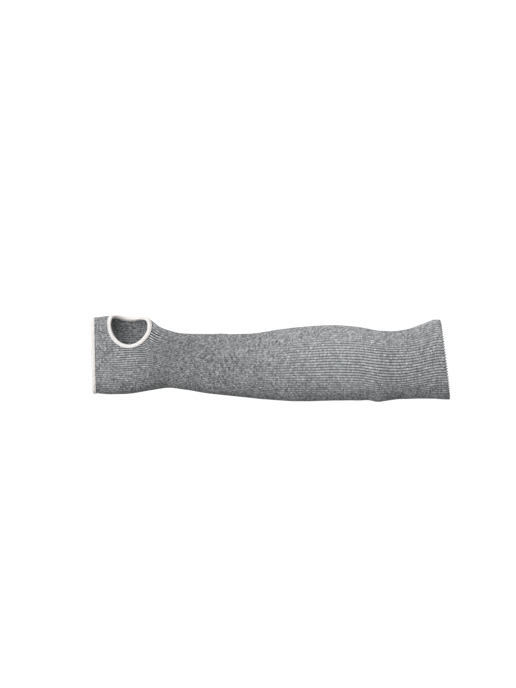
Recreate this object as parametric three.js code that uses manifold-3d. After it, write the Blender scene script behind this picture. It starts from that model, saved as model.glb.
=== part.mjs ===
// A knitted cut-resistant sleeve in its worn shape, level and with its thumb hole up. X runs along it from the
// narrow hand edge to the wide mouth, +Z is the thumb hole's side and -Y the palm side. The origin is the
// middle of its narrowest place, the wrist. All lengths are in millimetres.
import * as THREE from 'three';
import { mergeVertices } from 'three/addons/utils/BufferGeometryUtils.js';
import Module from 'manifold-3d';

// The sleeve's length, and the wrist's distance from the hand edge.
const sleeveLength = 401;
const wristFromHand = 106;

// Outside sizes over the ribs at six places along it: up and down (width), and from palm side to back (depth).
const handWidth = 85;
const handDepth = 34;
const palmWidth = 89;
const palmDepth = 41;
const wristWidth = 64;
const wristDepth = 46;
const forearmWidth = 86;
const forearmDepth = 80;
const elbowWidth = 78;
const elbowDepth = 77;
const mouthWidth = 91;
const mouthDepth = 80;

// How far each end is from square, in degrees: the thumb hole's side is the shorter one. The slant of the
// hand edge has died away by handSlantEnd, and the mouth's grows from mouthSlantStart, in shares of the length.
const handSlant = 1.2;
const handSlantEnd = 0.25;
const mouthSlant = 6.8;
const mouthSlantStart = 0.72;

// The knitted wall, over the ribs, and the ribs that run along it.
const wall = 2;
const ribCount = 84;
const ribHeight = 0.5;
const foldDepth = 2.5;

// The thumb hole inside its binding. Its reaches run over the knit from the sleeve's top line.
const thumbHoleFromHand = 43.3;
const thumbHoleLength = 42;
const thumbHolePalmReach = 44;
const thumbHoleBackReach = 7.5;

// The overlocked bindings: threads laid round a raw edge, over and under the knit.
const bindingWidth = 4;
const threadThickness = 0.8;
const clearance = 0.3;

// How finely curved shapes are stepped, and the steps from which the surface's direction is worked out.
const outlineSteps = 720;
const innerSides = 52;
const handEdgeSteps = 56;
const thumbEdgeSteps = 48;
const plugRings = 4;
const alongStep = sleeveLength / 800;
const roundStep = 1 / 250;

const girths = {
  hand: { width: handWidth, depth: handDepth },
  palm: { width: palmWidth, depth: palmDepth },
  wrist: { width: wristWidth, depth: wristDepth },
  forearm: { width: forearmWidth, depth: forearmDepth },
  elbow: { width: elbowWidth, depth: elbowDepth },
  mouth: { width: mouthWidth, depth: mouthDepth },
};

// Sections along the sleeve. at is a share of its length; wide, palm, back and rise are shares of the girth
// named by like: full width, reach to the palm side, reach to the back, and the middle's height.
// square is 2 for an ellipse and more for a boxier outline.
const sections = [
  { at: 0.000, like: 'hand', wide: 1.000, palm: 0.50, back: 0.50, rise: 0.082, square: 2.7 },
  { at: 0.047, like: 'palm', wide: 1.000, palm: 0.46, back: 0.45, rise: 0.082, square: 2.6 },
  { at: 0.109, like: 'palm', wide: 0.990, palm: 0.55, back: 0.47, rise: 0.086, square: 2.5 },
  { at: 0.160, like: 'palm', wide: 0.920, palm: 0.57, back: 0.49, rise: 0.089, square: 2.4 },
  { at: 0.194, like: 'wrist', wide: 1.095, palm: 0.47, back: 0.46, rise: 0.066, square: 2.3 },
  { at: 0.225, like: 'wrist', wide: 1.015, palm: 0.42, back: 0.48, rise: 0.035, square: 2.3 },
  { at: 0.265, like: 'wrist', wide: 1.000, palm: 0.44, back: 0.50, rise: 0.000, square: 2.3 },
  { at: 0.325, like: 'wrist', wide: 1.055, palm: 0.51, back: 0.54, rise: -0.037, square: 2.2 },
  { at: 0.400, like: 'forearm', wide: 0.821, palm: 0.36, back: 0.36, rise: -0.046, square: 2.2 },
  { at: 0.460, like: 'forearm', wide: 0.861, palm: 0.40, back: 0.40, rise: -0.057, square: 2.1 },
  { at: 0.520, like: 'forearm', wide: 0.929, palm: 0.44, back: 0.44, rise: -0.047, square: 2.1 },
  { at: 0.590, like: 'forearm', wide: 0.984, palm: 0.48, back: 0.47, rise: -0.035, square: 2.1 },
  { at: 0.680, like: 'forearm', wide: 1.000, palm: 0.50, back: 0.50, rise: -0.018, square: 2.1 },
  { at: 0.760, like: 'forearm', wide: 0.973, palm: 0.51, back: 0.50, rise: -0.030, square: 2.1 },
  { at: 0.815, like: 'elbow', wide: 1.030, palm: 0.50, back: 0.51, rise: -0.062, square: 2.1 },
  { at: 0.865, like: 'elbow', wide: 1.000, palm: 0.46, back: 0.52, rise: -0.053, square: 2.1 },
  { at: 0.910, like: 'elbow', wide: 1.025, palm: 0.47, back: 0.53, rise: -0.031, square: 2.1 },
  { at: 0.955, like: 'mouth', wide: 0.945, palm: 0.46, back: 0.50, rise: 0.007, square: 2.1 },
  { at: 0.982, like: 'mouth', wide: 0.995, palm: 0.475, back: 0.50, rise: 0.025, square: 2.1 },
  { at: 1.000, like: 'mouth', wide: 1.000, palm: 0.48, back: 0.50, rise: 0.024, square: 2.1 },
];

// Soft folds. at and long are shares of the sleeve's length; round and wide are shares of the way round,
// from the top line (0) over the palm side (0.25) to the bottom line (0.5) and the back (0.75);
// lean turns the fold across the sleeve, and push is a share of foldDepth, negative where it dents.
const folds = [
  { at: 0.190, long: 0.016, round: 0.30, wide: 0.10, lean: 0.06, push: -0.60 },
  { at: 0.212, long: 0.012, round: 0.42, wide: 0.06, lean: 0.05, push: -0.45 },
  { at: 0.245, long: 0.016, round: 0.07, wide: 0.07, lean: -0.05, push: -0.35 },
  { at: 0.368, long: 0.014, round: 0.97, wide: 0.06, lean: 0.00, push: 0.30 },
  { at: 0.776, long: 0.014, round: 0.46, wide: 0.07, lean: 0.10, push: -0.45 },
  { at: 0.808, long: 0.016, round: 0.48, wide: 0.07, lean: 0.10, push: 0.40 },
  { at: 0.842, long: 0.020, round: 0.22, wide: 0.10, lean: 0.05, push: -0.45 },
  { at: 0.880, long: 0.020, round: 0.40, wide: 0.07, lean: -0.20, push: -0.50 },
  { at: 0.800, long: 0.018, round: 0.78, wide: 0.10, lean: -0.06, push: -0.50 },
  { at: 0.850, long: 0.018, round: 0.72, wide: 0.09, lean: 0.08, push: -0.40 },
];

// The rings of the knitted wall: stretches of the length, each in equal steps, shorter where it curves most.
// The first ends where the thumb hole's binding does.
const thumbHoleEnd = (thumbHoleFromHand + thumbHoleLength / 2 + bindingWidth) / sleeveLength;
const stretches = [
  { from: 0, to: thumbHoleEnd, steps: 4 },
  { from: thumbHoleEnd, to: 0.265, steps: 4 },
  { from: 0.265, to: 0.775, steps: 5 },
  { from: 0.775, to: 0.880, steps: 3 },
  { from: 0.880, to: 1, steps: 4 },
];

const lerp = THREE.MathUtils.lerp;
const tanOf = (degrees) => Math.tan(THREE.MathUtils.degToRad(degrees));

// A smooth curve through the table's rows: a cubic between each two, with the slope at a row taken from
// its neighbours.
function smoothThrough(value, at) {
  const last = sections.length - 1;
  let i = sections.findIndex((row) => row.at > at) - 1;
  if (i < 0) i = at < sections[0].at ? 0 : last - 1;
  const slope = (k) => {
    const a = Math.max(k - 1, 0);
    const b = Math.min(k + 1, last);
    return (value(sections[b]) - value(sections[a])) / (sections[b].at - sections[a].at);
  };
  const span = sections[i + 1].at - sections[i].at;
  const t = (at - sections[i].at) / span;
  const fromHere = value(sections[i]) * (1 + 2 * t) * (1 - t) ** 2 + slope(i) * span * t * (1 - t) ** 2;
  const fromNext = value(sections[i + 1]) * t * t * (3 - 2 * t) + slope(i + 1) * span * t * t * (t - 1);
  return fromHere + fromNext;
}

// The outline of the sleeve where the section at that distance from the hand edge crosses it, with the
// length run along it at each step.
const outlines = new Map();
function outlineAt(along) {
  const key = along.toFixed(5);
  if (outlines.has(key)) return outlines.get(key);
  const at = along / sleeveLength;
  const section = {
    halfWidth: smoothThrough((row) => row.wide * girths[row.like].width, at) / 2,
    palm: smoothThrough((row) => row.palm * girths[row.like].depth, at),
    back: smoothThrough((row) => row.back * girths[row.like].depth, at),
    rise: smoothThrough((row) => row.rise * girths[row.like].width, at),
    power: 2 / smoothThrough((row) => row.square, at),
  };
  section.point = (angle) => {
    const up = Math.cos(angle);
    const out = Math.sin(angle);
    const y = -Math.sign(out) * Math.abs(out) ** section.power * (out > 0 ? section.palm : section.back);
    return [y, section.rise + Math.sign(up) * Math.abs(up) ** section.power * section.halfWidth];
  };
  section.run = [0];
  let before = section.point(0);
  for (let k = 1; k <= outlineSteps; k++) {
    const next = section.point((k / outlineSteps) * 2 * Math.PI);
    section.run.push(section.run[k - 1] + Math.hypot(next[0] - before[0], next[1] - before[1]));
    before = next;
  }
  section.girth = section.run[outlineSteps];
  outlines.set(key, section);
  return section;
}

// The angle at which a share of the outline's length, from the top line, has been run.
function angleAt(section, round) {
  const wanted = (round - Math.floor(round)) * section.girth;
  let low = 0;
  let high = outlineSteps;
  while (high - low > 1) {
    const middle = (low + high) >> 1;
    if (section.run[middle] <= wanted) low = middle;
    else high = middle;
  }
  const part = (wanted - section.run[low]) / (section.run[high] - section.run[low]);
  return ((low + part) / outlineSteps) * 2 * Math.PI;
}

// How far the folds push the surface out there.
function foldPush(at, round) {
  return folds.reduce((sum, fold) => {
    const aside = round - fold.round - Math.round(round - fold.round);
    const across = (at - fold.at - fold.lean * aside) / fold.long;
    return sum + fold.push * foldDepth * Math.exp(-across * across - (aside / fold.wide) ** 2);
  }, 0);
}

// A point over the rib crests: along is the distance from the hand edge, round the share of the way round.
function crestPoint(along, round) {
  const section = outlineAt(along);
  const at = along / sleeveLength;
  const [y, z] = section.point(angleAt(section, round));
  const push = foldPush(at, round) / Math.hypot(y, z - section.rise);
  const handShare = Math.max(1 - at / handSlantEnd, 0);
  const mouthShare = THREE.MathUtils.smoothstep(at, mouthSlantStart, 1);
  const slant = tanOf(handSlant) * handShare + tanOf(mouthSlant) * mouthShare;
  const height = z + (z - section.rise) * push;
  return new THREE.Vector3(along - wristFromHand - slant * height, y + y * push, height);
}

// The same point moved out of the surface by lift, or into the wall if lift is negative.
function surfacePoint(along, round, lift) {
  const forward = crestPoint(along + alongStep, round).sub(crestPoint(along - alongStep, round));
  const around = crestPoint(along, round + roundStep).sub(crestPoint(along, round - roundStep));
  return crestPoint(along, round).addScaledVector(forward.cross(around).normalize().negate(), lift);
}

// The rings' distances from the hand edge. The first is where the knit's raw edge lies in its binding.
const rawEdge = threadThickness + clearance;
const rings = [rawEdge];
for (const { from, to, steps } of stretches) {
  for (let k = 1; k <= steps; k++) rings.push(lerp(from, to, k / steps) * sleeveLength);
}

// A point of the wall as it is built, straight from ring to ring, so that what holds it keeps its clearance.
function wallPoint(along, round, lift) {
  const next = rings.findIndex((ring) => ring > along);
  const i = next < 0 ? rings.length - 2 : Math.max(next - 1, 0);
  const part = (along - rings[i]) / (rings[i + 1] - rings[i]);
  return surfacePoint(rings[i], round, lift).lerp(surfacePoint(rings[i + 1], round, lift), part);
}

// Turns lists of corners and triangles into a closed geometry.
function geometryOf(corners, triangles) {
  const geometry = new THREE.BufferGeometry().setFromPoints(corners);
  return geometry.setIndex(triangles);
}

// The two triangles of each cell between two rings of equal count, which close on themselves.
function joinRings(triangles, first, second, count) {
  for (let k = 0; k < count; k++) {
    const next = (k + 1) % count;
    triangles.push(first + k, second + k, second + next, first + k, second + next, first + next);
  }
}

// The knitted wall before the thumb hole is cut: ribbed outside, smooth inside, open at both ends.
function knitWall() {
  const corners = [];
  const triangles = [];
  const outerSides = ribCount * 2;
  for (const along of rings) {
    for (let k = 0; k < outerSides; k++) {
      corners.push(surfacePoint(along, k / outerSides, k % 2 ? -ribHeight : 0));
    }
  }
  const innerStart = corners.length;
  for (const along of rings) {
    for (let k = 0; k < innerSides; k++) corners.push(surfacePoint(along, k / innerSides, -wall));
  }
  for (let i = 0; i + 1 < rings.length; i++) {
    joinRings(triangles, (i + 1) * outerSides, i * outerSides, outerSides);
    joinRings(triangles, innerStart + i * innerSides, innerStart + (i + 1) * innerSides, innerSides);
  }
  const lastRing = rings.length - 1;
  closeRim(triangles, 0, innerStart, outerSides, false);
  closeRim(triangles, lastRing * outerSides, innerStart + lastRing * innerSides, outerSides, true);
  return geometryOf(corners, triangles);
}

// The flat rim between an outer ring and an inner ring with fewer corners. Walking round both together,
// each step goes along the ring that lags.
function closeRim(triangles, outer, inner, outerSides, atMouth) {
  const add = (a, b, c) => (atMouth ? triangles.push(a, c, b) : triangles.push(a, b, c));
  let k = 0;
  let m = 0;
  while (k < outerSides || m < innerSides) {
    const a = outer + (k % outerSides);
    const b = inner + (m % innerSides);
    if (m === innerSides || (k < outerSides && (k + 1) / outerSides <= (m + 0.5) / innerSides)) {
      k += 1;
      add(a, b, outer + (k % outerSides));
    } else {
      m += 1;
      add(a, b, inner + (m % innerSides));
    }
  }
}

// The thumb hole's finished edge, grown by a distance over the knit: an ellipse in the plane of the knit.
function thumbHolePoint(turn, grow) {
  const halfLength = thumbHoleLength / 2;
  const halfRound = (thumbHolePalmReach + thumbHoleBackReach) / 2;
  const acrossHole = (thumbHolePalmReach - thumbHoleBackReach) / 2;
  const cos = Math.cos(turn);
  const sin = Math.sin(turn);
  const outward = Math.hypot(cos / halfLength, sin / halfRound);
  const girth = outlineAt(thumbHoleFromHand).girth;
  return {
    along: thumbHoleFromHand + halfLength * cos + (grow * cos) / halfLength / outward,
    round: (acrossHole + halfRound * sin + (grow * sin) / halfRound / outward) / girth,
  };
}

// A slice of the sleeve's own surface, thicker than the wall, that takes the thumb hole out of it.
function thumbHolePlug() {
  const margin = wall * 0.75;
  const corners = [];
  const triangles = [];
  const middle = {
    along: thumbHoleFromHand,
    round: (thumbHolePalmReach - thumbHoleBackReach) / 2 / outlineAt(thumbHoleFromHand).girth,
  };
  for (const lift of [margin, -wall - margin]) {
    corners.push(wallPoint(middle.along, middle.round, lift));
    for (let ring = 1; ring <= plugRings; ring++) {
      for (let k = 0; k < thumbEdgeSteps; k++) {
        const edge = thumbHolePoint((k / thumbEdgeSteps) * 2 * Math.PI, rawEdge);
        const share = ring / plugRings;
        const along = lerp(middle.along, edge.along, share);
        corners.push(wallPoint(along, lerp(middle.round, edge.round, share), lift));
      }
    }
  }
  const skin = 1 + plugRings * thumbEdgeSteps;
  for (let k = 0; k < thumbEdgeSteps; k++) {
    const next = (k + 1) % thumbEdgeSteps;
    triangles.push(0, 1 + next, 1 + k, skin, skin + 1 + k, skin + 1 + next);
  }
  for (let ring = 0; ring + 1 < plugRings; ring++) {
    const first = 1 + ring * thumbEdgeSteps;
    joinRings(triangles, first + thumbEdgeSteps, first, thumbEdgeSteps);
    joinRings(triangles, skin + first, skin + first + thumbEdgeSteps, thumbEdgeSteps);
  }
  const rim = 1 + (plugRings - 1) * thumbEdgeSteps;
  joinRings(triangles, skin + rim, rim, thumbEdgeSteps);
  return geometryOf(corners, triangles);
}

// The U-shaped section of a binding that holds a raw edge: in is the distance from the finished edge over
// the knit, lift the height over the rib crests.
function bindingProfile() {
  const top = clearance + threadThickness;
  const bottom = -wall - top;
  const round = threadThickness;
  return [
    { in: bindingWidth, lift: top },
    { in: round, lift: top },
    { in: 0, lift: top - round },
    { in: 0, lift: bottom + round },
    { in: round, lift: bottom },
    { in: bindingWidth, lift: bottom },
    { in: bindingWidth, lift: bottom + threadThickness },
    { in: threadThickness, lift: bottom + threadThickness },
    { in: threadThickness, lift: top - threadThickness },
    { in: bindingWidth, lift: top - threadThickness },
  ];
}

// A binding all the way round an edge: place gives the point on the knit at a step and a distance in.
function bindingRing(steps, place) {
  const profile = bindingProfile();
  const corners = [];
  const triangles = [];
  for (let k = 0; k < steps; k++) {
    for (const corner of profile) {
      const { along, round } = place(k / steps, corner.in);
      corners.push(wallPoint(along, round, corner.lift));
    }
  }
  for (let k = 0; k < steps; k++) {
    joinRings(triangles, k * profile.length, ((k + 1) % steps) * profile.length, profile.length);
  }
  return geometryOf(corners, triangles);
}

function handEdgeBinding() {
  return bindingRing(handEdgeSteps, (turn, inward) => ({ along: inward, round: -turn }));
}

function thumbHoleBinding() {
  return bindingRing(thumbEdgeSteps, (turn, inward) => thumbHolePoint(-turn * 2 * Math.PI, inward));
}

const wasm = await Module();
wasm.setup();

function solidOf(geometry) {
  const merged = mergeVertices(geometry);
  return new wasm.Manifold(new wasm.Mesh({
    numProp: 3,
    vertProperties: merged.attributes.position.array,
    triVerts: new Uint32Array(merged.index.array),
  }));
}

function geometryFrom(solid) {
  const mesh = solid.getMesh();
  const geometry = new THREE.BufferGeometry();
  geometry.setAttribute('position', new THREE.BufferAttribute(mesh.vertProperties, 3));
  return geometry.setIndex(new THREE.BufferAttribute(mesh.triVerts, 1));
}

function named(name, geometry, material) {
  const mesh = new THREE.Mesh(geometry, material);
  mesh.name = name;
  return mesh;
}

const marledKnit = new THREE.MeshStandardMaterial({ color: 0x8f9194, roughness: 0.95, metalness: 0 });
const whiteThread = new THREE.MeshStandardMaterial({ color: 0xf1eeeb, roughness: 0.85, metalness: 0 });

const knitTube = solidOf(knitWall()).subtract(solidOf(thumbHolePlug()));

const sleeve = new THREE.Group();
sleeve.add(named('knit_tube', geometryFrom(knitTube), marledKnit));
sleeve.add(named('hand_edge_overlock', handEdgeBinding(), whiteThread));
sleeve.add(named('thumb_hole_overlock', thumbHoleBinding(), whiteThread));

export default sleeve;
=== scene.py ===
# %% [markdown]
# # A knitted cut-resistant sleeve
# The real thing is one tube of ribbed knit with an overlocked hand edge and an overlocked thumb hole. It is
# shown in its worn shape. The solids already have the right size and place, so this script only gives each
# of them a finer surface and a finish. It starts from the solids and never moves them.

# %% Load the solids
import bpy
import numpy as np
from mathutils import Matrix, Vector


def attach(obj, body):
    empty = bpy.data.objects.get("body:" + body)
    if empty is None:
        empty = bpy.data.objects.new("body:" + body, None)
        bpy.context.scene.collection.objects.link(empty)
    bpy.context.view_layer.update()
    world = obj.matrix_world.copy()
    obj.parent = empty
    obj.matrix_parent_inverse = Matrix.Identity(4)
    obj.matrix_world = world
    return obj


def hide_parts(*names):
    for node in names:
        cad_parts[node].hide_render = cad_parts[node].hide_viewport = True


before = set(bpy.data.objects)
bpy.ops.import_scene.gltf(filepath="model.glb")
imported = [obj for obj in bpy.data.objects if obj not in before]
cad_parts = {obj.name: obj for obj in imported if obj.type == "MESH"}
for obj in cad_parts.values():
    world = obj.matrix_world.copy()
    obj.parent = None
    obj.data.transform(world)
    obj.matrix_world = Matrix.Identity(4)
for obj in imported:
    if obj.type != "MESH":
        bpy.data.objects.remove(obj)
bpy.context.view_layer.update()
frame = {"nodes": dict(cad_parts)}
print("solids loaded:", ", ".join(frame["nodes"]))

# %% [markdown]
# ## The shape of the sleeve
# A worn sleeve is round in some places and flat in others. It could be sculpted, but a table of cross
# sections is easier to measure and to correct. Each row gives the outline at one distance from the hand
# edge, as shares of a named girth, and a smooth curve runs through the rows. These are the sizes of the
# solids, so the fine surface lies where they do.

# %% Sizes and sections
MM = 0.001
sleeve_length = 401 * MM
wrist_from_hand = 106 * MM
wall = 2.0 * MM
fold_depth = 2.5 * MM

# Both ends lean. The hand edge's slant fades out, and the mouth's sets in, at a share of the length.
hand_slant = np.radians(1.2)
hand_slant_end = 0.25
mouth_slant = np.radians(6.8)
mouth_slant_start = 0.72

# Outside width (up and down) and depth (palm side to back) at six named places, in millimetres.
girths = {
    "hand": (85, 34),
    "palm": (89, 41),
    "wrist": (64, 46),
    "forearm": (86, 80),
    "elbow": (78, 77),
    "mouth": (91, 80),
}

# Columns: share of the length, girth, width, reach to the palm side, reach to the back, rise of the middle,
# and squareness (2 is an ellipse, more is boxier).
sections = [
    (0.000, "hand", 1.000, 0.50, 0.50, 0.082, 2.7),
    (0.047, "palm", 1.000, 0.46, 0.45, 0.082, 2.6),
    (0.109, "palm", 0.990, 0.55, 0.47, 0.086, 2.5),
    (0.160, "palm", 0.920, 0.57, 0.49, 0.089, 2.4),
    (0.194, "wrist", 1.095, 0.47, 0.46, 0.066, 2.3),
    (0.225, "wrist", 1.015, 0.42, 0.48, 0.035, 2.3),
    (0.265, "wrist", 1.000, 0.44, 0.50, 0.000, 2.3),
    (0.325, "wrist", 1.055, 0.51, 0.54, -0.037, 2.2),
    (0.400, "forearm", 0.821, 0.36, 0.36, -0.046, 2.2),
    (0.460, "forearm", 0.861, 0.40, 0.40, -0.057, 2.1),
    (0.520, "forearm", 0.929, 0.44, 0.44, -0.047, 2.1),
    (0.590, "forearm", 0.984, 0.48, 0.47, -0.035, 2.1),
    (0.680, "forearm", 1.000, 0.50, 0.50, -0.018, 2.1),
    (0.760, "forearm", 0.973, 0.51, 0.50, -0.030, 2.1),
    (0.815, "elbow", 1.030, 0.50, 0.51, -0.062, 2.1),
    (0.865, "elbow", 1.000, 0.46, 0.52, -0.053, 2.1),
    (0.910, "elbow", 1.025, 0.47, 0.53, -0.031, 2.1),
    (0.955, "mouth", 0.945, 0.46, 0.50, 0.007, 2.1),
    (0.982, "mouth", 0.995, 0.475, 0.50, 0.025, 2.1),
    (1.000, "mouth", 1.000, 0.48, 0.50, 0.024, 2.1),
]

# Soft folds. Columns: share of the length, how long, place round (0 top, 0.25 palm side, 0.5 bottom,
# 0.75 back), how wide, lean across the sleeve, and push as a share of fold_depth, negative where it dents.
folds = [
    (0.190, 0.016, 0.30, 0.10, 0.06, -0.60),
    (0.212, 0.012, 0.42, 0.06, 0.05, -0.45),
    (0.245, 0.016, 0.07, 0.07, -0.05, -0.35),
    (0.368, 0.014, 0.97, 0.06, 0.00, 0.30),
    (0.776, 0.014, 0.46, 0.07, 0.10, -0.45),
    (0.808, 0.016, 0.48, 0.07, 0.10, 0.40),
    (0.842, 0.020, 0.22, 0.10, 0.05, -0.45),
    (0.880, 0.020, 0.40, 0.07, -0.20, -0.50),
    (0.800, 0.018, 0.78, 0.10, -0.06, -0.50),
    (0.850, 0.018, 0.72, 0.09, 0.08, -0.40),
]

at, like, wide, palm, back, rise, square = (np.array(column) for column in zip(*sections))
widths, depths = (np.array([girths[name][k] for name in like]) * MM for k in (0, 1))
print(len(sections), "sections from", widths.min() / MM, "to", widths.max() / MM, "mm wide")

# %% [markdown]
# ## From the table to a skin
# The skin is a function of two parameters: the distance along the sleeve and the share of the way round.
# Knitted ribs keep their number all the way, so they spread where the sleeve is wide and close where it is
# narrow. That is why the way round is counted in shares of each outline's own length, not in degrees.
# The whole skin is worked out once as a fine table, and everything else is laid on it.


# %% A smooth curve through the rows
def smooth_through(values, share):
    """A cubic between two rows, h00 v0 + h10 s0 + h01 v1 + h11 s1 (Hermite). The slope s at a row is that
    of the straight line between the row before and the row after."""
    last = len(at) - 1
    rows = np.arange(last + 1)
    after, before = np.minimum(rows + 1, last), np.maximum(rows - 1, 0)
    slopes = (values[after] - values[before]) / (at[after] - at[before])
    i = np.clip(np.searchsorted(at, share, side="right") - 1, 0, last - 1)
    span = at[i + 1] - at[i]
    t = (share - at[i]) / span
    from_here = values[i] * (1 + 2 * t) * (1 - t) ** 2 + slopes[i] * span * t * (1 - t) ** 2
    from_next = values[i + 1] * t * t * (3 - 2 * t) + slopes[i + 1] * span * t * t * (t - 1)
    return from_here + from_next


# %% Steps and places
def smoothstep(value, low, high):
    """0 below low, 1 above high, and 3 t^2 - 2 t^3 between."""
    t = np.clip((value - low) / (high - low), 0, 1)
    return t * t * (3 - 2 * t)


def from_place(rounds, place):
    """The shortest way round from a place to a share, between -0.5 and 0.5."""
    return rounds - place - np.round(rounds - place)


# A full turn in steps of half a degree.
half_degrees = np.linspace(0, 2 * np.pi, 721)


# %% Points of the skin
def skin_points(along, rounds):
    """Points over the rib crests, one row for each distance and one column for each share of the way round.
    Each outline is a superellipse: y = -reach sin^p, z = rise + half width cos^p, with p = 2 / squareness.
    It is run at equal shares of its own length. Folds push it in or out along the line from its middle, by
    push exp(-across^2 - aside^2), and the ends slant by x = along - tan(slant) z."""
    share = along[:, None] / sleeve_length
    half_width = smooth_through(wide * widths, share) / 2
    middle = smooth_through(rise * widths, share)
    power = 2 / smooth_through(square, share)
    up, out = np.cos(half_degrees), np.sin(half_degrees)
    palm_reach, back_reach = smooth_through(palm * depths, share), smooth_through(back * depths, share)
    y = -np.sign(out) * np.abs(out) ** power * np.where(out > 0, palm_reach, back_reach)
    z = middle + np.sign(up) * np.abs(up) ** power * half_width
    run = np.cumsum(np.hypot(np.diff(y, prepend=y[:, :1]), np.diff(z, prepend=z[:, :1])), axis=1)
    run /= run[:, -1:]
    # One interpolation does all rows, because each row's shares are moved 2 beyond those of the row before.
    apart = 2 * np.arange(len(along))[:, None]
    wanted = (rounds + apart).ravel()
    y = np.interp(wanted, (run + apart).ravel(), y.ravel()).reshape(len(along), -1)
    z = np.interp(wanted, (run + apart).ravel(), z.ravel()).reshape(len(along), -1)
    push = np.zeros_like(y)
    for fold_at, long, fold_round, broad, lean, depth in folds:
        aside = from_place(rounds, fold_round)
        across = (share - fold_at - lean * aside) / long
        push += depth * fold_depth * np.exp(-(across**2) - (aside / broad) ** 2)
    push /= np.hypot(y, z - middle)
    slant = np.tan(hand_slant) * np.maximum(1 - share / hand_slant_end, 0)
    slant = slant + np.tan(mouth_slant) * smoothstep(share, mouth_slant_start, 1)
    z += (z - middle) * push
    return np.stack([along[:, None] - wrist_from_hand - slant * z, y * (1 + push), z], axis=2)


# %% The skin as a table
# It runs a few steps past both ends, because threads and scallops reach over the edges.
skin_step = 1 * MM
steps_before_hand = 6
steps_past_mouth = 9
skin_steps = np.arange(-steps_before_hand, round(sleeve_length / skin_step) + steps_past_mouth)
skin_along = skin_steps * skin_step
skin_columns = 840
skin_rounds = np.arange(skin_columns) / skin_columns
skin = skin_points(skin_along, skin_rounds)
forward = np.gradient(skin, axis=0)
around = np.roll(skin, -1, axis=1) - np.roll(skin, 1, axis=1)
skin_normals = -np.cross(forward, around)
skin_normals /= np.linalg.norm(skin_normals, axis=2, keepdims=True)
skin_girths = np.linalg.norm(np.roll(skin, -1, axis=1) - skin, axis=2).sum(axis=1)
print("skin:", len(skin), "rows of", skin_columns, "points")
print("girths:", (skin_girths.min() / MM).round(), "to", (skin_girths.max() / MM).round(), "mm")


# %% A point on the skin
def on_skin(along, rounds, lift=0.0):
    """The point at a distance along and a share round, moved out by lift: linear between the four nearest
    points of the table, plus lift times their normal."""
    along, rounds, lift = np.broadcast_arrays(along, rounds, lift)
    # It stops just short of the last row, so that there is always a next one.
    row = np.clip((along - skin_along[0]) / skin_step, 0, len(skin_along) - 1.001)
    column = (rounds % 1) * skin_columns
    i, j = row.astype(int), column.astype(int) % skin_columns
    s, t = (row - i)[..., None], (column - np.floor(column))[..., None]
    next_j = (j + 1) % skin_columns

    def blend(table):
        near = table[i, j] * (1 - t) + table[i, next_j] * t
        far = table[i + 1, j] * (1 - t) + table[i + 1, next_j] * t
        return near * (1 - s) + far * s

    return blend(skin) + blend(skin_normals) * lift[..., None]


# %% [markdown]
# ## From arrays to a mesh
# Blender takes a mesh fastest as whole arrays. A grid that closes on itself is the same in every piece:
# a tube, a thread and a band are all a grid of points, joined by one four-sided face in each cell.


# %% Helpers for meshes
def grid_faces(rows, columns, closed_rows=False):
    """Four corners of each cell of a grid that closes on itself across its columns: (i, j), (i, j + 1),
    (i + 1, j + 1), (i + 1, j), with point (i, j) numbered i columns + j."""
    i = np.arange(rows if closed_rows else rows - 1)[:, None]
    j = np.arange(columns)[None, :]
    next_i, next_j = (i + 1) % rows, (j + 1) % columns
    corners = [i * columns + j, i * columns + next_j, next_i * columns + next_j, next_i * columns + j]
    return np.stack(corners, axis=2).reshape(-1, 4)


def facing_out(points, faces):
    """The same closed mesh with its faces outwards. Its volume, the sum of a . (b x c) / 6 over its
    triangles, is negative when they face inwards."""
    a, b, c, d = (points[faces[:, k]] for k in range(4))
    volume = (a * (np.cross(b, c) + np.cross(c, d))).sum() / 6
    return faces if volume > 0 else faces[:, ::-1]


def make_piece(name, points, faces, uv):
    """A smooth-shaded object at the origin. uv has one row for each corner of each face."""
    mesh = bpy.data.meshes.new(name)
    mesh.vertices.add(len(points))
    mesh.vertices.foreach_set("co", points.astype(np.float32).ravel())
    mesh.loops.add(faces.size)
    mesh.loops.foreach_set("vertex_index", faces.astype(np.int32).ravel())
    mesh.polygons.add(len(faces))
    mesh.polygons.foreach_set("loop_start", np.arange(0, faces.size, 4, dtype=np.int32))
    mesh.polygons.foreach_set("use_smooth", np.ones(len(faces), dtype=bool))
    mesh.uv_layers.new(name="surface")
    mesh.uv_layers["surface"].data.foreach_set("uv", uv.astype(np.float32).ravel())
    mesh.update(calc_edges=True)
    mesh.validate()
    piece = bpy.data.objects.new(name, mesh)
    bpy.context.scene.collection.objects.link(piece)
    print(name + ":", len(points), "points,", 2 * len(faces), "triangles")
    return piece


# %% [markdown]
# ## The thumb hole's edge
# The hole was cut in the flat cloth, so its edge is an ellipse measured over the knit and then bent with
# it. The knit, the threads and the band all need the same edge, each a little further in, so one function
# gives it, grown by any distance.

# %% The edge of the thumb hole
hole_from_hand = 43.3 * MM
hole_length = 42 * MM
hole_palm_reach = 44 * MM
hole_back_reach = 7.5 * MM
hole_girth = np.interp(hole_from_hand, skin_along, skin_girths)
half_length = hole_length / 2
half_round = (hole_palm_reach + hole_back_reach) / 2
hole_middle = (hole_palm_reach - hole_back_reach) / 2
print("thumb hole:", hole_length / MM, "by", 2 * half_round / MM, "mm")


def hole_edge(turn, grow):
    """Distance along and share round of the ellipse, moved out over the knit by grow along its normal,
    (cos / a, sin / b) scaled to length 1."""
    cos, sin = np.cos(turn), np.sin(turn)
    outward = np.hypot(cos / half_length, sin / half_round)
    along = hole_from_hand + half_length * cos + grow * cos / half_length / outward
    return along, (hole_middle + half_round * sin + grow * sin / half_round / outward) / hole_girth


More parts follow.
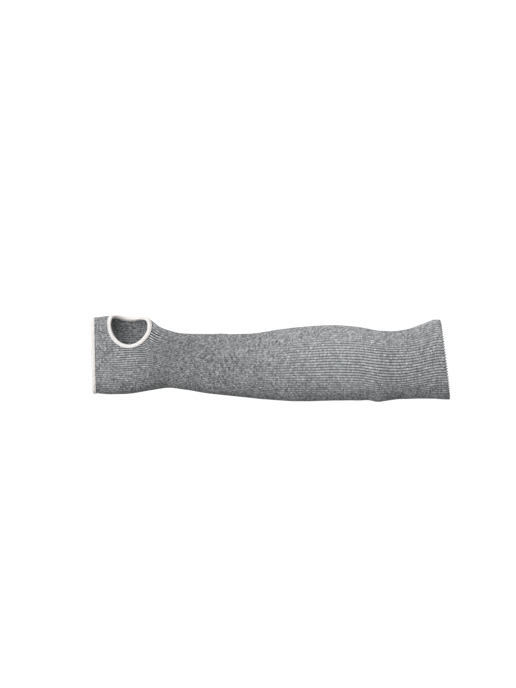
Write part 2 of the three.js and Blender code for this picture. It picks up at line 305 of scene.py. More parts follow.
# %% [markdown]
# ## The knitted tube
# Rib knit has columns of stitches that stand up and columns that lie back. The cloth is a real wall, so it
# gets an outer and an inner layer. Ribs could be a bump in the finish, but they make the outline of both
# ends and catch the light from every side, so they are in the mesh: four columns of points to a rib, two
# on its crest and two in its valley. The stitches themselves are too small for that and are left to the
# finish.

# %% Ribs and rows
rib_count = 84
rib_depth = 0.9 * MM
# The knit's raw edge lies this far inside the finished edge that the threads make.
raw_edge = 1.6 * MM
# Columns: place in the rib's pitch from its crest, and share of its depth.
rib_profile = [(-0.17, 0.0), (0.17, 0.0), (0.37, 1.0), (0.63, 1.0)]
# Rows of points: from a share of the length to another, in equal steps.
row_stretches = [(0.0, 0.28, 54), (0.28, 0.74, 42), (0.74, 1.0, 46)]

rib_places, rib_levels = (np.array(column) for column in zip(*rib_profile))
phases = (np.arange(rib_count)[:, None] + rib_places).ravel()
columns_round = phases / rib_count
valleys = np.tile(rib_levels, rib_count)
shares = [np.linspace(low, high, steps + 1)[1:] for low, high, steps in row_stretches]
rows = np.concatenate([[raw_edge], *[share * sleeve_length for share in shares]])
print(len(rows), "rows of", len(phases), "points")

# %% How the knit is drawn along the sleeve
# Columns: share of the length; openness of the valleys between ribs, from 0, shut, to about 1, gaping; and
# paleness, from 0 to about 1, which makes the knit's colour paler and its flecks more even.
drawn_table = [
    (0.00, 0.15, 0.5),
    (0.05, 0.35, 0.5),
    (0.08, 1.05, 0.3),
    (0.16, 1.05, 0.2),
    (0.20, 0.30, 0.0),
    (0.27, 0.05, 0.0),
    (0.40, 0.05, 0.3),
    (0.48, 0.20, 0.5),
    (0.56, 0.60, 0.9),
    (0.64, 0.95, 1.0),
    (0.72, 1.00, 1.2),
    (0.80, 1.10, 1.3),
    (0.85, 1.10, 0.7),
    (0.95, 0.95, 0.3),
    (1.00, 1.00, 0.3),
]

# The thumb hole's edge gathers the knit on its wrist side, and the palm side is drawn where the sleeve
# bends. Columns: millimetres from the hand edge, how far that reaches, place round, how far that reaches,
# how much the ribs fan out, and how much their valleys open.
pulls = [
    (70, 14, 0.085, 0.085, 0.80, 1.6),
    (341, 22, 0.250, 0.100, 0.20, 0.0),
]


def pulled(row, along, rounds):
    """How strong one pull is, 1 at its middle: exp(-a^2 - b^2), with a and b the distances from there along
    and round, as shares of how far it reaches."""
    from_hand, long, place, broad = row[:4]
    ahead = (along - from_hand * MM) / (long * MM)
    aside = from_place(rounds, place) / broad
    return np.exp(-(ahead**2) - aside**2)


def fanned(along, rounds):
    """The share round with the ribs moved apart, away from the middle of each pull."""
    return rounds + sum(row[4] * from_place(rounds, row[2]) * pulled(row, along, rounds) for row in pulls)


print("drawn at", len(drawn_table), "places along and pulled at", len(pulls))


# %% Cut the grid to the thumb hole
knit_along = np.repeat(rows[:, None], len(phases), axis=1)
knit_round = np.repeat(columns_round[None, :], len(rows), axis=0)
cut_length, cut_round = half_length + raw_edge, half_round + raw_edge


def cut_reach(rounds):
    """Half the cut's length at a share round, which is 0 beside the hole."""
    aside = (from_place(rounds, 0) * hole_girth - hole_middle) / cut_round
    return cut_length * np.sqrt(np.maximum(1 - aside**2, 0))


# The end moves the ribs and the ribs move the end, so it is worked out again until it stays.
times_to_settle = 6
start = hole_from_hand - cut_reach(columns_round)
end = hole_from_hand + cut_reach(columns_round)
for _ in range(times_to_settle):
    end = hole_from_hand + cut_reach(fanned(end, columns_round))

# In each column that is cut, the row before the hole and the row after it move to its edge, and the rows
# between are left out.
last_before = np.searchsorted(rows, start, side="right") - 1
first_after = np.searchsorted(rows, end, side="left")
crosses_middle = (start < hole_from_hand) & (end > hole_from_hand)
cut_columns = np.flatnonzero(crosses_middle & (first_after - last_before >= 2))
last_before, first_after = last_before[cut_columns], first_after[cut_columns]
knit_along[last_before, cut_columns] = start[cut_columns]
knit_along[first_after, cut_columns] = end[cut_columns]
row_numbers = np.arange(len(rows))[:, None]
gone = np.zeros(knit_along.shape, dtype=bool)
gone[:, cut_columns] = (row_numbers > last_before) & (row_numbers < first_after)
gone_cell = gone[:-1] | gone[1:]
kept = ~(gone_cell | np.roll(gone_cell, -1, axis=1))
print("thumb hole cut through", len(cut_columns), "columns")

# %% How far the ribs open
# They gape on the two broad sides and shut towards the top and bottom lines. Near the mouth they stay more
# open, and most of all towards the top line.
drawn_share, drawn_openness, drawn_paleness = np.array(drawn_table).T
# Shares of the way round: how far the middles of the broad sides lie before those of the palm side and the
# back, and between which distances from there the ribs shut.
broad_side_shift = 0.015
shut_from, shut_at = 0.05, 0.15
shut_by = 0.85
# The mouth sets in between two shares of the length, and the upper side between two shares of the way
# round from the bottom line.
mouth_from, mouth_at = 0.90, 0.97
top_from, top_at = 0.20, 0.30
open_at_mouth = 0.35
open_at_top = 0.35

share_along = knit_along / sleeve_length
off_broad_side = np.abs((knit_round + broad_side_shift) % 0.5 - 0.25)
upper_side = smoothstep(np.abs(knit_round - 0.5), top_from, top_at)
near_mouth = smoothstep(share_along, mouth_from, mouth_at) * (open_at_mouth + open_at_top * upper_side)
shut = smoothstep(off_broad_side, shut_from, shut_at) * (1 - near_mouth)
openness = np.interp(share_along, drawn_share, drawn_openness) * (1 - shut_by * shut)
openness += sum(row[5] * pulled(row, knit_along, knit_round) for row in pulls)
paleness = np.interp(share_along, drawn_share, drawn_paleness)
print("openness from", openness.min().round(2), "to", openness.max().round(2))

# %% Unevenness of the cloth
# The seed picks one of many like sleeves, and every run draws the same one.
rng = np.random.default_rng(7)


def unevenness(along, rounds, waves, shortest, longest):
    """A gentle seeded ripple between about -1 and 1: the mean of sine waves whose lengths lie between
    shortest and longest, with a whole number of waves round the sleeve so that it closes."""
    total = np.zeros(np.broadcast_shapes(along.shape, rounds.shape))
    for length in rng.uniform(shortest, longest, waves):
        angle = rng.uniform(0, np.pi)
        times_round = np.round(np.sin(angle) * skin_girths.mean() / length)
        per_length = np.cos(angle) * 2 * np.pi / length
        total += np.sin(along * per_length + rounds * 2 * np.pi * times_round + rng.uniform(0, 2 * np.pi))
    return total * np.sqrt(2 / waves) / 2


# The cloth ripples off the skin, and each rib wanders by a small share of its pitch.
ripple_height = 0.15 * MM
wander_reach = 0.07 / rib_count
ripple = ripple_height * unevenness(knit_along, knit_round, waves=14, shortest=9 * MM, longest=34 * MM)
wander = wander_reach * unevenness(knit_along, knit_round, waves=10, shortest=14 * MM, longest=60 * MM)
print("ripple up to", (ripple.max() / MM).round(2), "mm")

# %% Lift the two layers off the skin
# Ribs are deeper where they are open. The inner layer has the outer one's valleys for its own ribs. Each
# crest ends in a small scallop at the mouth, where a rounded rim joins the layers.
shut_depth = 0.45
inner_depth = 0.7 * rib_depth
scallop_height = 1.3 * MM
scallop_middle = 0.45
scallop_start = sleeve_length - 4 * MM
rim_bulge = 0.5 * MM
rim_depth = 0.3 * rib_depth

depth = rib_depth * (shut_depth + (1 - shut_depth) * openness)
scallop = scallop_height * (scallop_middle - valleys) * smoothstep(knit_along, scallop_start, sleeve_length)
point_along = knit_along + scallop
point_round = fanned(knit_along, knit_round) + wander
outer = on_skin(point_along, point_round, ripple - depth * valleys)
inner = on_skin(point_along, point_round, ripple - wall + inner_depth * (1 - valleys))
rim = on_skin(point_along[-1:] + rim_bulge, point_round[-1:], -wall / 2 - rim_depth * valleys)
print("ribs up to", (depth.max() / MM).round(2), "mm deep")

# %% Join the layers into one closed wall
point_rows, point_columns = knit_along.shape
layer = point_rows * point_columns
cells = grid_faces(point_rows, point_columns).reshape(point_rows - 1, point_columns, 4)
outer_faces = cells[kept]
inner_faces = cells[kept][:, ::-1] + layer
numbers = np.arange(layer).reshape(point_rows, point_columns)
rim_numbers = 2 * layer + np.arange(point_columns)


def strip(first, second, turned=False):
    """Faces between two equal lists of points a and b, closing on themselves: a, b, next b, next a."""
    faces = np.stack([first, second, np.roll(second, -1), np.roll(first, -1)], axis=1)
    return faces[:, ::-1] if turned else faces


def edge_faces(i, j, next_i, next_j, turned):
    """Faces across the wall between the outer and the inner layer, along edges of the grid."""
    a, d = numbers[i, j], numbers[next_i, next_j]
    faces = np.stack([a, a + layer, d + layer, d], axis=1)
    return faces[:, ::-1] if turned else faces


# The hole's rim runs wherever a cell that is kept lies beside one that is not.
below, above = kept[:-1], kept[1:]
left, right = np.roll(kept, 1, axis=1), kept
hole_faces = []
for edges, turned in ((below & ~above, True), (~below & above, False)):
    i, j = np.nonzero(edges)
    hole_faces.append(edge_faces(i + 1, j, i + 1, (j + 1) % point_columns, turned))
for edges, turned in ((left & ~right, False), (~left & right, True)):
    i, j = np.nonzero(edges)
    hole_faces.append(edge_faces(i, j, i + 1, j, turned))
rims = [
    strip(numbers[0], numbers[0] + layer),
    strip(numbers[-1], rim_numbers, turned=True),
    strip(rim_numbers, numbers[-1] + layer, turned=True),
]
knit_faces = np.concatenate([outer_faces, inner_faces, *rims, *hole_faces])
knit_points = np.concatenate([outer.reshape(-1, 3), inner.reshape(-1, 3), rim.reshape(-1, 3)])
print("wall:", len(knit_faces), "faces, of which", sum(map(len, hole_faces)), "line the thumb hole")

# %% Map ribs and courses
# The finish counts in stitches, so the map does too: u is the number of ribs and v the number of courses.
# The inner layer is moved half a rib, because its ribs are the outer layer's valleys.
course = 1.45 * MM
outer_u = np.tile(phases, point_rows)
point_u = np.concatenate([outer_u, outer_u + 0.5, phases])
point_v = np.concatenate([knit_along.ravel(), knit_along.ravel(), knit_along[-1]]) / course
knit_uv = np.stack([point_u[knit_faces], point_v[knit_faces]], axis=2)
# A face that joins the last rib to the first has its low corners moved on by a whole turn.
wraps = knit_uv[..., 0].max(axis=1, keepdims=True) - knit_uv[..., 0] > rib_count / 2
knit_uv[..., 0] += rib_count * wraps
print("map:", rib_count, "ribs by", round(sleeve_length / course), "courses")

# %% The ribbed knit
used, knit_faces = np.unique(knit_faces, return_inverse=True)
knit_faces = knit_faces.reshape(-1, 4)
knit_piece = make_piece("ribbed_knit", knit_points[used], knit_faces, knit_uv)
# The finish reads both: openness for the painted shade in the valleys, and both to make the colour paler.
for attribute, values in (("openness", openness), ("paleness", paleness)):
    each_point = np.concatenate([values.ravel(), values.ravel(), values[-1]])[used]
    knit_piece.data.attributes.new(attribute, "FLOAT", "POINT")
    knit_piece.data.attributes[attribute].data.foreach_set("value", each_point.astype(np.float32))
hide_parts("knit_tube")
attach(knit_piece, "root")

# %% [markdown]
# ## The overlocked edges
# An overlock stitch holds a raw edge with its threads. One looper thread zigzags over the top from a line
# of needle stitches to the edge, another does the same underneath, and they catch each other at the edge.
# A plain white band would pass from far away, but it has no depth close up. So each thread is a real one,
# a tube that follows its path stitch by stitch, laid over a thin band that stands for the threads' fuzz.


# %% One thread along an edge
def thread(path_along, path_round, lift, broad, thick, sides=6):
    """A closed tube along a path over the skin. Its section is an ellipse with its long axis in the knit:
    centre + broad / 2 cos side + thick / 2 sin up. Its map runs in millimetres along it and once round."""
    centre = on_skin(path_along, path_round, lift)
    normal = on_skin(path_along, path_round, lift + MM) - centre
    tangent = np.roll(centre, -1, axis=0) - np.roll(centre, 1, axis=0)
    side = np.cross(tangent, normal)
    side /= np.linalg.norm(side, axis=1, keepdims=True)
    up = np.cross(side, tangent)
    up /= np.linalg.norm(up, axis=1, keepdims=True)
    angle = 2 * np.pi * np.arange(sides) / sides
    ring = broad / 2 * np.cos(angle)[None, :, None] * side[:, None]
    ring = ring + thick / 2 * np.sin(angle)[None, :, None] * up[:, None]
    points = (centre[:, None] + ring).reshape(-1, 3)
    faces = facing_out(points, grid_faces(len(centre), sides, closed_rows=True))
    reach = np.linalg.norm(np.roll(centre, -1, axis=0) - centre, axis=1)
    run = np.concatenate([[0], np.cumsum(reach)])[:-1] / MM
    u, v = np.repeat(run, sides), np.tile(np.arange(sides) / sides, len(centre))
    uv = np.stack([u[faces], v[faces]], axis=2)
    # A face that closes the ring or the thread has its low corners moved on, as on the knit.
    uv[..., 1] += uv[..., 1].max(axis=1, keepdims=True) - uv[..., 1] > 0.5
    uv[..., 0] += (uv[..., 0].max(axis=1, keepdims=True) - uv[..., 0] > run.max() / 2) * run.max()
    return points, faces, uv


# %% Paths of the threads and outline of the band
stitch = 1.5 * MM
band_width = 4.0 * MM
# How broad each thread lies and how thick it is.
looper_size = (0.84 * MM, 0.62 * MM)
needle_size = (0.55 * MM, 0.45 * MM)

# Each looper thread's way in one stitch. Columns: share of the stitch, millimetres from the finished edge,
# and millimetres over the knit.
looper_path = np.array([
    (0.02, 3.80, 0.22),
    (0.12, 3.05, 0.52),
    (0.21, 2.00, 0.58),
    (0.29, 0.95, 0.50),
    (0.36, 0.28, 0.10),
    (0.46, -0.02, -0.62),
    (0.54, -0.02, -0.62),
    (0.64, 0.28, 0.10),
    (0.71, 0.95, 0.50),
    (0.79, 2.00, 0.58),
    (0.88, 3.05, 0.52),
    (0.98, 3.80, 0.22),
])
# The needle thread's way in one stitch, in the same columns.
needle_path = np.array([
    (0.00, 3.70, -0.10),
    (0.14, 3.68, 0.55),
    (0.38, 3.66, 0.78),
    (0.62, 3.66, 0.78),
    (0.86, 3.68, 0.55),
])
# The band's outline. Columns: millimetres from the finished edge, millimetres over the knit, and 1 where
# they are counted under it.
band_outline = np.array([
    (3.98, 0.10, 0),
    (3.60, 0.32, 0),
    (0.75, 0.32, 0),
    (0.25, -0.10, 0),
    (0.25, -0.10, 1),
    (0.75, 0.32, 1),
    (3.60, 0.32, 1),
    (3.98, 0.10, 1),
    (3.98, -0.10, 1),
    (0.90, -0.10, 1),
    (0.90, -0.10, 0),
    (3.98, -0.10, 0),
])
# How much a stitch wavers: share of a stitch along the edge, in from the edge, and off the knit. Nearer the
# finished edge than locked_within, in millimetres, the threads lock into each other and stay.
waver_sizes = (0.05, 0.10 * MM, 0.035 * MM)
locked_within = 0.5
print("a stitch has", len(looper_path), "looper points and", len(needle_path), "needle points")


# %% Stitch by stitch
def stitched(path, place, count, phase=0.0, under=False):
    """A thread's whole way: its one-stitch path repeated count times. Each stitch wavers a little along the
    edge, in from the edge and off the knit, by its own random amounts."""
    wavers = rng.normal(0, 1, (count, 1, 3)) * waver_sizes
    way = path * (1, MM, MM) + wavers * (path[:, 1:2] > locked_within)
    forward_shares = (np.arange(count)[:, None] + phase + way[..., 0]).ravel() / count
    lift = way[..., 2].ravel()
    along, rounds = place(forward_shares, way[..., 1].ravel())
    return along, rounds, (-wall - lift if under else lift)


def band(place, count):
    """A closed ring with the band's outline at each stitch. Its map has four points to one turn."""
    corners = len(band_outline)
    inward, level, below = np.tile(band_outline * (MM, MM, 1), (count, 1)).T
    along, rounds = place(np.repeat(np.arange(count) / count, corners), inward)
    points = on_skin(along, rounds, np.where(below > 0, -wall - level, level))
    faces = facing_out(points, grid_faces(count, corners, closed_rows=True))
    u = np.repeat(np.arange(count) * stitch / MM, corners)
    v = np.tile(np.arange(corners), count) / 4
    return points, faces, np.stack([u[faces], v[faces]], axis=2)


def overlock(name, place, edge_length):
    """The band, the two looper threads and the needle thread over and under one edge, as one mesh."""
    count = int(round(edge_length / stitch))
    parts = [
        band(place, count),
        thread(*stitched(looper_path, place, count), *looper_size),
        thread(*stitched(looper_path, place, count, 0.5, under=True), *looper_size),
        thread(*stitched(needle_path, place, count), *needle_size),
        thread(*stitched(needle_path, place, count, under=True), *needle_size),
    ]
    starts = np.cumsum([0] + [len(points) for points, _, _ in parts[:-1]])
    points = np.concatenate([part[0] for part in parts])
    faces = np.concatenate([part[1] + start for part, start in zip(parts, starts)])
    uv = np.concatenate([part[2] for part in parts])
    return make_piece(name, points, faces, uv)


# %% Lay them along the two edges
def hand_place(forward_shares, inward):
    """Round the hand edge: a distance from it and a share of the way round."""
    return inward, forward_shares


edge_points = on_skin(*hole_edge(half_degrees, band_width / 2))
edge_run = np.concatenate([[0], np.cumsum(np.linalg.norm(np.diff(edge_points, axis=0), axis=1))])


def hole_place(forward_shares, inward):
    """Round the thumb hole in equal steps of its edge's own length."""
    turn = np.interp(forward_shares % 1, edge_run / edge_run[-1], half_degrees)
    return hole_edge(turn, inward)


hand_length = np.interp(band_width / 2, skin_along, skin_girths)
hand_overlock = overlock("hand_edge_threads", hand_place, hand_length)
hole_overlock = overlock("thumb_hole_threads", hole_place, edge_run[-1])
for piece, node in ((hand_overlock, "hand_edge_overlock"), (hole_overlock, "thumb_hole_overlock")):
    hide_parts(node)
    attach(piece, "root")

# %% [markdown]
# ## How a material is built here
# Each finish is a small network of nodes. One function adds a node with its settings and its links, so a
# network reads from top to bottom as a list of what feeds what. Colours are written as the usual screen
# hex values and turned to Blender's linear ones.


# %% Helpers for materials
def linear(hex_colour):
    """Screen colour to linear: c / 12.92 below 0.04045, else ((c + 0.055) / 1.055)^2.4, in each channel."""
    channels = np.array([int(hex_colour[k : k + 2], 16) for k in (0, 2, 4)]) / 255
    low, high = channels / 12.92, ((channels + 0.055) / 1.055) ** 2.4
    return (*np.where(channels <= 0.04045, low, high), 1)


def add(tree, kind, *inputs, **named):
    """Adds a node and gives it back. inputs go to its first sockets in order. A name with a capital is a
    socket too, and any other name is one of the node's own settings. A socket takes a value, another node's
    socket, or a node, which stands for its first output."""
    node = tree.nodes.new("ShaderNode" + kind)
    sockets = dict(enumerate(inputs))
    for key, value in named.items():
        if key[0].isupper():
            sockets[key.replace("_", " ")] = value
        else:
            setattr(node, key, value)
    for key, value in sockets.items():
        if isinstance(value, bpy.types.Node):
            value = value.outputs[0]
        if isinstance(value, bpy.types.NodeSocket):
            tree.links.new(value, node.inputs[key])
        else:
            node.inputs[key].default_value = value
    return node


def new_material(name):
    """An empty material and its node tree."""
    material = bpy.data.materials.new(name)
    material.use_nodes = True
    material.node_tree.nodes.clear()
    return material, material.node_tree


white = (1, 1, 1, 1)
smooth = {"interpolation_type": "SMOOTHSTEP"}
on_map = {"noise_dimensions": "2D"}

# %% [markdown]
# ## Marled yarn, rib knitted
# The yarn is a strong pale filament twisted with a dark one. Each stitch shows a different bit of the
# twist, so the cloth is flecked in steps of half a stitch and never evenly grey. Stitches on a rib look
# like a column of small Vs. They come from the map: the distance from the rib's crest tilts the course
# number, so that each course turns up on both sides of the crest. A leg of a stitch is about 1.4 mm wide
# and as long, and its fleck is drawn at that real size. Two faint patterns of patches, a few stitches and
# some ten stitches across, keep large areas from looking even.

# %% Number the stitches
knit_material, tree = new_material("marled_rib_knit")
surface_map = add(tree, "UVMap", uv_map="surface")
map_parts = add(tree, "SeparateXYZ", surface_map)
wale, courses = map_parts.outputs["X"], map_parts.outputs["Y"]

# off_crest is 0 on the rib's crest and 1 in the middle of the valley, and a leg climbs part of a course
# between the two.
leg_climb = 0.85
from_crest = add(tree, "Math", wale, 0.5, operation="PINGPONG")
off_crest = add(tree, "Math", from_crest, 2.0, operation="MULTIPLY")
tilted = add(tree, "Math", off_crest, leg_climb, courses, operation="MULTIPLY_ADD")
stitch_phase = add(tree, "Math", tilted, operation="FRACT")
stitch_row = add(tree, "Math", tilted, operation="FLOOR")

# Each stitch and each of its two legs has a number, and the numbers give random shades.
half_wales = add(tree, "Math", wale, 2.0, operation="MULTIPLY")
leg = add(tree, "Math", half_wales, operation="FLOOR")
leg_number = add(tree, "CombineXYZ", leg, stitch_row, 0.0)
leg_fleck = add(tree, "TexWhiteNoise", Vector=leg_number, **on_map)
to_next_rib = add(tree, "Math", wale, 0.5, operation="ADD")
rib = add(tree, "Math", to_next_rib, operation="FLOOR")
rib_middle = add(tree, "Math", rib, 0.5, operation="ADD")
stitch_number = add(tree, "CombineXYZ", rib_middle, stitch_row, 0.0)
fleck = add(tree, "TexWhiteNoise", Vector=stitch_number, **on_map)
print("stitches numbered with", len(tree.nodes), "nodes")

# %% Patches over several stitches
# The same map in millimetres. The patches are about 2.4 and 17 mm across.
rib_pitch_mm = 2.7
patches_per_mm = 0.42
broad_patches_per_mm = 0.06
cloth_place = add(tree, "Mapping", surface_map, Scale=(rib_pitch_mm, course / MM, 1))
patch_noise = {"Scale": patches_per_mm, "Detail": 2.0, "Roughness": 0.6}
patches = add(tree, "TexNoise", Vector=cloth_place, **patch_noise, **on_map)
patches = add(tree, "MapRange", patches, From_Min=0.30, From_Max=0.70)
broad_patches = add(tree, "TexNoise", Vector=cloth_place, Scale=broad_patches_per_mm, Detail=1.0, **on_map)
broad_patches = add(tree, "Math", broad_patches, 0.5, operation="SUBTRACT")
print("patches of", round(1 / patches_per_mm, 1), "and", round(1 / broad_patches_per_mm), "mm")

# %% Shade of each stitch
# How much each of them counts.
leg_weight = 0.54
stitch_weight = 0.38
patch_weight = 0.08
broad_patch_weight = 0.12
shade = add(tree, "Math", leg_fleck, leg_weight, operation="MULTIPLY")
shade = add(tree, "Math", fleck, stitch_weight, shade, operation="MULTIPLY_ADD")
shade = add(tree, "Math", patches, patch_weight, shade, operation="MULTIPLY_ADD")
shade = add(tree, "Math", broad_patches, broad_patch_weight, shade, operation="MULTIPLY_ADD")

# Open ribs look more even, because the dark yarn sinks into the valleys. The flecks are also evened where
# the paleness column is high.
evened_by_opening = -0.35
evened_by_paleness = -0.12
opened = add(tree, "Attribute", attribute_name="openness").outputs["Fac"]
paleness_value = add(tree, "Attribute", attribute_name="paleness").outputs["Fac"]
opened_at_most = add(tree, "Math", opened, 1.0, operation="MINIMUM")
evenness = add(tree, "Math", opened_at_most, evened_by_opening, 1.0, operation="MULTIPLY_ADD")
evenness = add(tree, "Math", paleness_value, evened_by_paleness, evenness, operation="MULTIPLY_ADD")
shade = add(tree, "Math", shade, 0.5, operation="SUBTRACT")
shade = add(tree, "Math", shade, evenness, 0.5, operation="MULTIPLY_ADD")

# One stitch in some sixty is a slub, where the pale yarn is thick.
slub_above = 0.985
slub_paler = 0.2
slub = add(tree, "Math", fleck, slub_above, operation="GREATER_THAN")
shade = add(tree, "Math", slub, slub_paler, shade, operation="MULTIPLY_ADD")

# Dark, middle and pale yarn.
yarn_stops = [(0.15, "5F6163"), (0.50, "96989A"), (0.85, "C3C5C7")]
yarn = add(tree, "ValToRGB", shade)
yarn.color_ramp.elements.new(0.5)
for stop, (position, colour) in zip(yarn.color_ramp.elements, yarn_stops):
    stop.position = position
    stop.color = linear(colour)
print("yarn from", yarn_stops[0][1], "to", yarn_stops[-1][1])

# %% Relief of the stitches
# A stitch is round across its length, with a groove between its two legs and a fall to the valley. Fine
# fibres, a quarter of a millimetre long, lie over it.
roundness = 2.4
fibres_per_mm = 4.0
fibre_height = 0.25
relief_height = 0.45 * MM
across = add(tree, "Math", stitch_phase, 2.0, -1.0, operation="MULTIPLY_ADD")
across = add(tree, "Math", across, operation="ABSOLUTE")
fall = add(tree, "Math", across, roundness, operation="POWER")
hump = add(tree, "Math", 1.0, fall, operation="SUBTRACT")
groove = add(tree, "MapRange", off_crest, From_Max=0.16, To_Min=0.45, **smooth)
flank = add(tree, "MapRange", off_crest, From_Min=0.5, From_Max=0.85, To_Min=1.0, To_Max=0.35, **smooth)
relief = add(tree, "Math", hump, groove, operation="MULTIPLY")
relief = add(tree, "Math", relief, flank, operation="MULTIPLY")
fibres = add(tree, "TexNoise", Vector=cloth_place, Scale=fibres_per_mm, Detail=2.0, **on_map)
height = add(tree, "Math", fibres, fibre_height, relief, operation="MULTIPLY_ADD")
bump = add(tree, "Bump", Strength=0.7, Distance=relief_height, Height=height)
print("stitches", relief_height / MM, "mm high with fibres", 1 / fibres_per_mm, "mm long")

# %% Shade in the gaps
# Painted shade: the colour is darkened in the gaps between stitches, and in the valleys between ribs where
# they are pulled apart, because light hardly reaches them.
# Where the ribs are open, and where the paleness column is high, the whole colour is made paler.
valley_shade_strength = 0.64
valley_shade_darkest = 0.93
paler_when_opened = 0.50
paler_by_paleness = 0.30
pale_at_rest = 0.87
# Painted shade between the stitches: darker where the relief is low, a little paler on the stitch tops.
lit = add(tree, "MapRange", relief, From_Max=0.8, To_Min=0.72, To_Max=1.06)
paler = add(tree, "Math", opened, paler_when_opened, pale_at_rest, operation="MULTIPLY_ADD")
paler = add(tree, "Math", paleness_value, paler_by_paleness, paler, operation="MULTIPLY_ADD")
# Painted shade in the valleys, the stronger the more open they are.
valley = add(tree, "MapRange", off_crest, From_Min=0.42, From_Max=0.8, **smooth)
valley_shade = add(tree, "Math", valley, opened, operation="MULTIPLY")
valley_shade = add(tree, "Math", valley_shade, valley_shade_strength, operation="MULTIPLY")
valley_shade = add(tree, "Math", valley_shade, valley_shade_darkest, operation="MINIMUM")
lit_valley = add(tree, "Math", 1.0, valley_shade, operation="SUBTRACT")
lit = add(tree, "Math", lit, paler, operation="MULTIPLY")
lit = add(tree, "Math", lit, lit_valley, operation="MULTIPLY")
knit_colour = add(tree, "VectorMath", yarn, Scale=lit, operation="SCALE")
print("open valleys keep at least", round(1 - valley_shade_darkest, 2), "of their light")

# %% The knit's finish
# Spun yarn is matt, with a faint sheen from the fibres that stand off it.
knit_finish = {"Roughness": 0.9, "Sheen_Weight": 0.15, "Sheen_Roughness": 0.5}
knit_shader = add(tree, "BsdfPrincipled", Base_Color=knit_colour, Normal=bump, **knit_finish)
add(tree, "OutputMaterial", knit_shader)
knit_piece.data.materials.append(knit_material)
print(knit_material.name, len(tree.nodes), "nodes")

# %% [markdown]
# ## Textured thread
# Overlock thread is crimped so that it fluffs up and covers the edge. It is a clean white with many fine
# filaments along it, which soften its shine. The thread's own map runs in millimetres along it and once
# round it, so noise stretched along the first makes filaments.

# %% The threads' finish
thread_material, tree = new_material("textured_overlock_thread")
filament_scale = (1.6, 9.0, 1)
filament_height = 0.12 * MM
thread_stops = [(0.3, "F6F2F0"), (0.7, "FFFCFA")]
filament_place = add(tree, "Mapping", add(tree, "UVMap", uv_map="surface"), Scale=filament_scale)
filaments = add(tree, "TexNoise", Vector=filament_place, Scale=1.0, Detail=3.0, **on_map)
thread_colour = add(tree, "ValToRGB", filaments)
for stop, (position, colour) in zip(thread_colour.color_ramp.elements, thread_stops):
    stop.position = position
    stop.color = linear(colour)
bump = add(tree, "Bump", Strength=0.5, Distance=filament_height, Height=filaments)
thread_finish = {"Roughness": 0.8, "Sheen_Weight": 0.2, "Sheen_Roughness": 0.4}
thread_shader = add(tree, "BsdfPrincipled", Base_Color=thread_colour, Normal=bump, **thread_finish)
add(tree, "OutputMaterial", thread_shader)
hand_overlock.data.materials.append(thread_material)
hole_overlock.data.materials.append(thread_material)
print(thread_material.name, len(tree.nodes), "nodes")

# %% [markdown]
# ## The studio
# The picture is a product shot on white. One large soft light stands at the upper left in front, a weak
# one above, and one behind on the right, which keeps the far side clear. A little light comes from all
# round. The pale floor lies well below and is lit until it is as white as the background, so no horizon
# shows.

# %% Floor
floor_level = -0.62
floor_half = 12.0
floor_glow = 0.4
floor_corners = np.array([(-1, -1), (1, -1), (1, 1), (-1, 1)]) * floor_half
floor_points = np.column_stack([floor_corners, np.full(4, floor_level)])
floor_faces = np.array([[0, 1, 2, 3]])
floor = make_piece("pale_floor", floor_points, floor_faces, floor_corners)
floor_material, tree = new_material("matt_pale_paint")
floor_finish = {"Roughness": 1.0, "Specular_IOR_Level": 0.0}
floor_shader = add(tree, "BsdfPrincipled", linear("FAFAFA"), **floor_finish)
floor_shader.inputs["Emission Color"].default_value = white
floor_shader.inputs["Emission Strength"].default_value = floor_glow
add(tree, "OutputMaterial", floor_shader)
floor.data.materials.append(floor_material)
floor.visible_diffuse = False


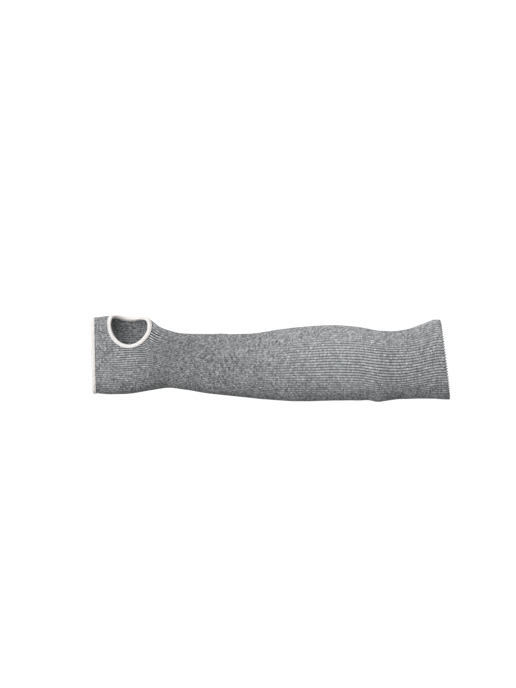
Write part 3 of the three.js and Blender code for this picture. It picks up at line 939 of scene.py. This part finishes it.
# %% Lights
def soft_sun(name, towards, strength, spread):
    """A sun that shines from the direction towards, as wide as spread in degrees, for soft shadows."""
    lamp = bpy.data.lights.new(name, "SUN")
    lamp.energy = strength
    lamp.angle = np.radians(spread)
    sun = bpy.data.objects.new(name, lamp)
    sun.rotation_euler = Vector(towards).to_track_quat("Z", "Y").to_euler()
    bpy.context.scene.collection.objects.link(sun)
    print(name, strength, "strong,", spread, "degrees wide")


soft_sun("key_light", (-0.50, -0.80, 0.30), 2.5, 50)
soft_sun("top_light", (-0.30, -0.10, 1.00), 0.25, 90)
soft_sun("back_light", (0.50, 0.85, 0.00), 1.5, 30)

# %% Light from all round
# The camera sees plain white behind the sleeve. What lights it is dimmer, and dimmer below than above.
white_seen = 1.05
light_below = 0.16
light_above = 0.44
world = bpy.data.worlds.new("white_studio")
world.use_nodes = True
tree = world.node_tree
tree.nodes.clear()
sky = add(tree, "SeparateXYZ", add(tree, "TexCoord").outputs["Generated"]).outputs["Z"]
sky = add(tree, "MapRange", sky, From_Min=-1.0, From_Max=1.0, To_Min=light_below, To_Max=light_above)
ambient = add(tree, "Background", Color=white, Strength=sky)
seen = add(tree, "Background", Color=white, Strength=white_seen)
by_camera = add(tree, "LightPath").outputs["Is Camera Ray"]
add(tree, "OutputWorld", add(tree, "MixShader", by_camera, ambient, seen))
bpy.context.scene.world = world
bpy.context.scene.view_settings.view_transform = "Standard"

# %% [markdown]
# ## The camera
# The sleeve is seen straight from its palm side. One pixel of the picture is 1.134 mm at the sleeve, so
# the long side of the picture, 688 pixels, spans 780 mm there. A camera 4.5 m away with the matching lens
# gives that width, at the depth of the sleeve's near side, with little perspective.

# %% Camera
pixel = 1.134 * MM
picture_height = 688
sensor = 36
camera_distance = 4.5
near_side = 0.02
middle_along, middle_up = 0.0828, 0.0200
camera_data = bpy.data.cameras.new("picture_camera")
camera_data.sensor_width = sensor
camera_data.lens = sensor * (camera_distance - near_side) / (picture_height * pixel)
camera = bpy.data.objects.new("picture_camera", camera_data)
camera.location = (middle_along, -camera_distance, middle_up)
camera.rotation_euler = (np.pi / 2, 0, 0)
bpy.context.scene.collection.objects.link(camera)
bpy.context.scene.camera = camera
print("lens:", round(camera_data.lens, 1), "mm")
